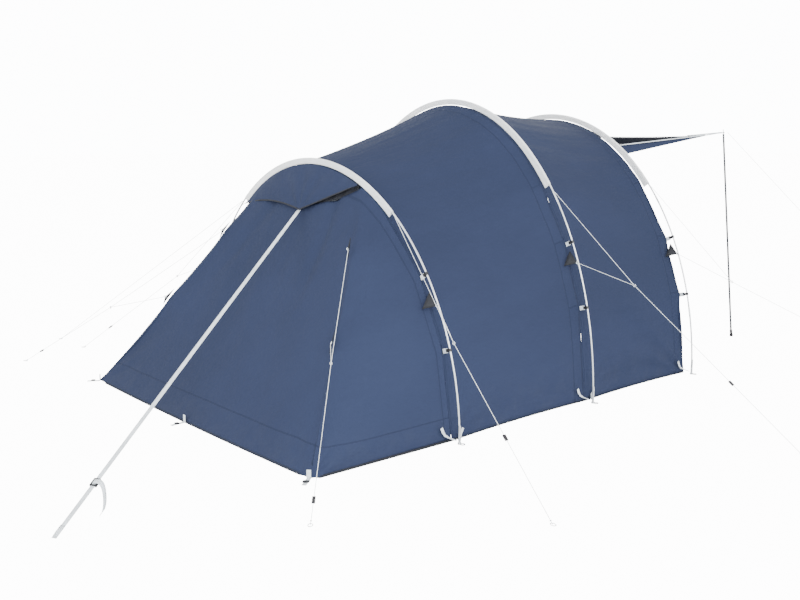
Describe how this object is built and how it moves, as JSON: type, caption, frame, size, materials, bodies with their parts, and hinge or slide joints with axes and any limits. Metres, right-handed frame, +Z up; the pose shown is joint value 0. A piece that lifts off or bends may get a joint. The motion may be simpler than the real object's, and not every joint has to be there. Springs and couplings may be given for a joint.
{
  "type": "tunnel tent",
  "caption": "Tunnel tent with arched hoop poles in outside sleeves, a rear vent hood, an inner cabin, a front porch and a raised door canopy on upright poles.",
  "frame": {"origin": "on the ground, at the middle of the tent's own footprint without its lines and straps", "axes": "+Z up, +Y out of the doorway under the canopy, +X to the tent's right side seen from behind"},
  "size_m": [5.5323, 7.0079, 1.958],
  "materials": {
    "fly_cloth": "coated polyester, satin",
    "dark_cloth": "coated polyester, satin",
    "hem_tape": "woven tape",
    "sleeve_cloth": "plain weave",
    "webbing": "flat woven webbing",
    "inner_cloth": "breathable, matt",
    "mesh": "fine mosquito mesh",
    "floor_cloth": "laminated floor sheet",
    "fibreglass": "smooth",
    "ferrule_metal": "satin",
    "prop_steel": "dark zinc",
    "black_plastic": "moulded",
    "rubber_foot": "matt",
    "line_cord": "braided",
    "ring_metal": "polished",
    "zip_metal": "satin"
  },
  "bodies": {
    "tent": {"groundsheet": "floor_cloth", "fly_rear_wall": "fly_cloth", "fly_cabin_bay": "fly_cloth", "fly_porch_bay": "fly_cloth", "front_wall": "fly_cloth", "hem_binding": "hem_tape", "rear_hood": "fly_cloth", "rear_vent_mesh": "mesh", "rear_sleeve": "sleeve_cloth", "middle_sleeve": "sleeve_cloth", "front_sleeve": "sleeve_cloth", "rear_hoop_pole": "fibreglass", "middle_hoop_pole": "fibreglass", "front_hoop_pole": "fibreglass", "pole_ferrules": "ferrule_metal", "pole_feet": "ferrule_metal", "foot_rings": "ring_metal", "foot_webbing": "webbing", "pole_clips": "black_plastic", "clip_tabs": "webbing", "guy_patches": "dark_cloth", "hem_tabs": "webbing", "hem_buckles": "black_plastic", "inner_walls": "inner_cloth", "inner_rear_wall": "inner_cloth", "inner_front_wall": "inner_cloth", "guy_corner_right": "line_cord", "guy_corner_left": "line_cord", "guy_rear_right": "line_cord", "guy_rear_left": "line_cord", "guy_middle_right": "line_cord", "guy_middle_left": "line_cord", "guy_front_right": "line_cord", "guy_front_left": "line_cord", "guy_canopy_right": "line_cord", "guy_canopy_left": "line_cord", "guy_rings": "ring_metal", "rear_strap": "webbing", "strap_tail": "webbing"},
    "inner_door": {"inner_door": "inner_cloth"},
    "canopy": {"canopy_panel": "dark_cloth", "canopy_edge_tape": "webbing", "canopy_corner_webbing": "webbing"},
    "canopy_prop_right": {"canopy_pole_right": "prop_steel", "canopy_foot_right": "rubber_foot"},
    "canopy_prop_left": {"canopy_pole_left": "prop_steel", "canopy_foot_left": "rubber_foot"},
    "zip_slider_right": {"zip_slider_right": "zip_metal"},
    "zip_slider_left": {"zip_slider_left": "zip_metal"},
    "rear_buckle": {"rear_buckle": "black_plastic"},
    "tensioner_corner_right": {"tensioner_corner_right": "black_plastic"},
    "tensioner_corner_left": {"tensioner_corner_left": "black_plastic"},
    "tensioner_rear_right": {"tensioner_rear_right": "black_plastic"},
    "tensioner_rear_left": {"tensioner_rear_left": "black_plastic"},
    "tensioner_middle_right": {"tensioner_middle_right": "black_plastic"},
    "tensioner_middle_left": {"tensioner_middle_left": "black_plastic"},
    "tensioner_front_right": {"tensioner_front_right": "black_plastic"},
    "tensioner_front_left": {"tensioner_front_left": "black_plastic"},
    "tensioner_canopy_right": {"tensioner_canopy_right": "black_plastic"},
    "tensioner_canopy_left": {"tensioner_canopy_left": "black_plastic"}
  },
  "joints": [
    {"name": "canopy_drop", "type": "hinge", "parent": "tent", "child": "canopy", "pos_m": [0, 1.022, 1.466], "axis": [1, 0, 0], "range_deg": [-88, 0]},
    {"name": "canopy_prop_right_tilt", "type": "hinge", "parent": "tent", "child": "canopy_prop_right", "pos_m": [0.9, 2.38, 0.012], "axis": [1, 0, 0], "range_deg": [-97, 0]},
    {"name": "canopy_prop_left_tilt", "type": "hinge", "parent": "tent", "child": "canopy_prop_left", "pos_m": [-0.9, 2.38, 0.012], "axis": [1, 0, 0], "range_deg": [-97, 0]},
    {"name": "inner_door_swing", "type": "hinge", "parent": "tent", "child": "inner_door", "pos_m": [-0.4955, -0.178, 0.75], "axis": [0, 0, 1], "range_deg": [0, 95]},
    {"name": "zip_slider_right_slide", "type": "slide", "parent": "canopy", "child": "zip_slider_right", "axis": [0.1696, 0.9827, 0.0747], "range_m": [0, 0.8]},
    {"name": "zip_slider_left_slide", "type": "slide", "parent": "canopy", "child": "zip_slider_left", "axis": [-0.1696, 0.9827, 0.0747], "range_m": [0, 0.8]},
    {"name": "rear_buckle_slide", "type": "slide", "parent": "tent", "child": "rear_buckle", "axis": [0.4082, -0.7843, -0.4672], "range_m": [-0.3, 0.06]},
    {"name": "tensioner_corner_right_slide", "type": "slide", "parent": "tent", "child": "tensioner_corner_right", "axis": [0.5304, -0.5395, -0.6539], "range_m": [-0.45, 0.06]},
    {"name": "tensioner_corner_left_slide", "type": "slide", "parent": "tent", "child": "tensioner_corner_left", "axis": [-0.8189, -0.3179, -0.4778], "range_m": [-0.45, 0.1]},
    {"name": "tensioner_rear_right_slide", "type": "slide", "parent": "tent", "child": "tensioner_rear_right", "axis": [0.7936, -0.2172, -0.5684], "range_m": [-0.45, 0.1]},
    {"name": "tensioner_rear_left_slide", "type": "slide", "parent": "tent", "child": "tensioner_rear_left", "axis": [-0.7427, -0.367, -0.5601], "range_m": [-0.45, 0.1]},
    {"name": "tensioner_middle_right_slide", "type": "slide", "parent": "tent", "child": "tensioner_middle_right", "axis": [0.8005, 0.0482, -0.5974], "range_m": [-0.45, 0.1]},
    {"name": "tensioner_middle_left_slide", "type": "slide", "parent": "tent", "child": "tensioner_middle_left", "axis": [-0.8005, 0.0482, -0.5974], "range_m": [-0.45, 0.1]},
    {"name": "tensioner_front_right_slide", "type": "slide", "parent": "tent", "child": "tensioner_front_right", "axis": [0.5172, 0.7298, -0.4471], "range_m": [-0.45, 0.1]},
    {"name": "tensioner_front_left_slide", "type": "slide", "parent": "tent", "child": "tensioner_front_left", "axis": [-0.5172, 0.7298, -0.4471], "range_m": [-0.45, 0.1]},
    {"name": "tensioner_canopy_right_slide", "type": "slide", "parent": "tent", "child": "tensioner_canopy_right", "axis": [0.4806, 0.5123, -0.7118], "range_m": [-0.45, 0.1]},
    {"name": "tensioner_canopy_left_slide", "type": "slide", "parent": "tent", "child": "tensioner_canopy_left", "axis": [-0.4806, 0.5123, -0.7118], "range_m": [-0.45, 0.1]}
  ],
  "couplings": [
    {"joint": "canopy_prop_right_tilt", "follows": "canopy_drop", "ratio": 1.1},
    {"joint": "canopy_prop_left_tilt", "follows": "canopy_drop", "ratio": 1.1}
  ]
}
